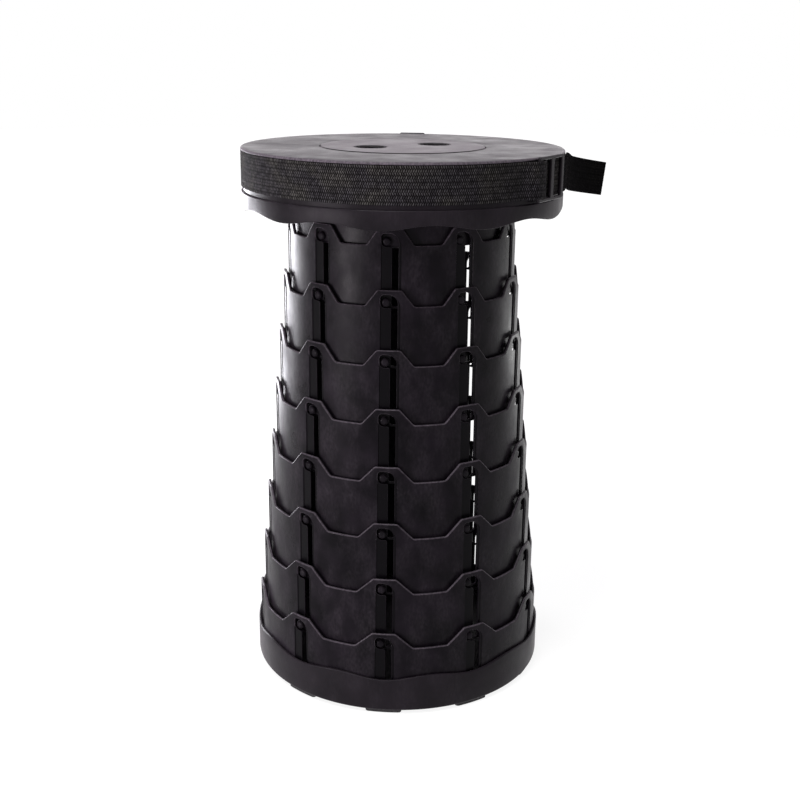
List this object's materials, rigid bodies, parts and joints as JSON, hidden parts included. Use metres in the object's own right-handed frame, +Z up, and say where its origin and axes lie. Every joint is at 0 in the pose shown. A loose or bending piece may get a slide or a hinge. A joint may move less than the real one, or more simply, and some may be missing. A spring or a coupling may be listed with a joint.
{
  "type": "collapsible telescopic stool",
  "caption": "Round telescopic stool of nested rings that lock with pins in windows and slide down into a shallow base, with a webbing strap round the seat.",
  "frame": {"origin": "on the floor, under the stool's axis", "axes": "+Z up along the stool's axis; a column of windows faces -Y; the strap's buckle is towards +X, -Y"},
  "size_m": [0.2863, 0.2527, 0.427],
  "materials": {
    "shell_plastic": "black satin moulded plastic",
    "ring_plastic": "black satin moulded plastic",
    "insert_plastic": "black plastic with a fine grain",
    "foot_rubber": "dull black rubber",
    "webbing": "black woven webbing",
    "buckle_plastic": "black moulded plastic"
  },
  "bodies": {
    "base": {"base_cup": "shell_plastic", "ring_8": "ring_plastic", "foot_01": "foot_rubber", "foot_02": "foot_rubber", "foot_03": "foot_rubber", "foot_04": "foot_rubber", "foot_05": "foot_rubber", "foot_06": "foot_rubber", "foot_07": "foot_rubber", "foot_08": "foot_rubber", "foot_09": "foot_rubber", "foot_10": "foot_rubber"},
    "ring_7_body": {"ring_7": "ring_plastic"},
    "ring_6_body": {"ring_6": "ring_plastic"},
    "ring_5_body": {"ring_5": "ring_plastic"},
    "ring_4_body": {"ring_4": "ring_plastic"},
    "ring_3_body": {"ring_3": "ring_plastic"},
    "ring_2_body": {"ring_2": "ring_plastic"},
    "ring_1_body": {"ring_1": "ring_plastic"},
    "seat": {"seat_cover": "shell_plastic", "seat_insert": "insert_plastic", "seat_ring": "ring_plastic", "strap_band": "webbing", "strap_tail": "webbing", "strap_buckle": "buckle_plastic", "strap_slide": "buckle_plastic"}
  },
  "joints": [
    {"name": "ring_7_slide", "type": "slide", "parent": "base", "child": "ring_7_body", "axis": [0, 0, 1], "range_m": [-0.0435, 0]},
    {"name": "ring_6_slide", "type": "slide", "parent": "ring_7_body", "child": "ring_6_body", "axis": [0, 0, 1], "range_m": [-0.0435, 0]},
    {"name": "ring_5_slide", "type": "slide", "parent": "ring_6_body", "child": "ring_5_body", "axis": [0, 0, 1], "range_m": [-0.0435, 0]},
    {"name": "ring_4_slide", "type": "slide", "parent": "ring_5_body", "child": "ring_4_body", "axis": [0, 0, 1], "range_m": [-0.0435, 0]},
    {"name": "ring_3_slide", "type": "slide", "parent": "ring_4_body", "child": "ring_3_body", "axis": [0, 0, 1], "range_m": [-0.0435, 0]},
    {"name": "ring_2_slide", "type": "slide", "parent": "ring_3_body", "child": "ring_2_body", "axis": [0, 0, 1], "range_m": [-0.0435, 0]},
    {"name": "ring_1_slide", "type": "slide", "parent": "ring_2_body", "child": "ring_1_body", "axis": [0, 0, 1], "range_m": [-0.0435, 0]},
    {"name": "seat_slide", "type": "slide", "parent": "ring_1_body", "child": "seat", "axis": [0, 0, 1], "range_m": [-0.0435, 0]}
  ]
}
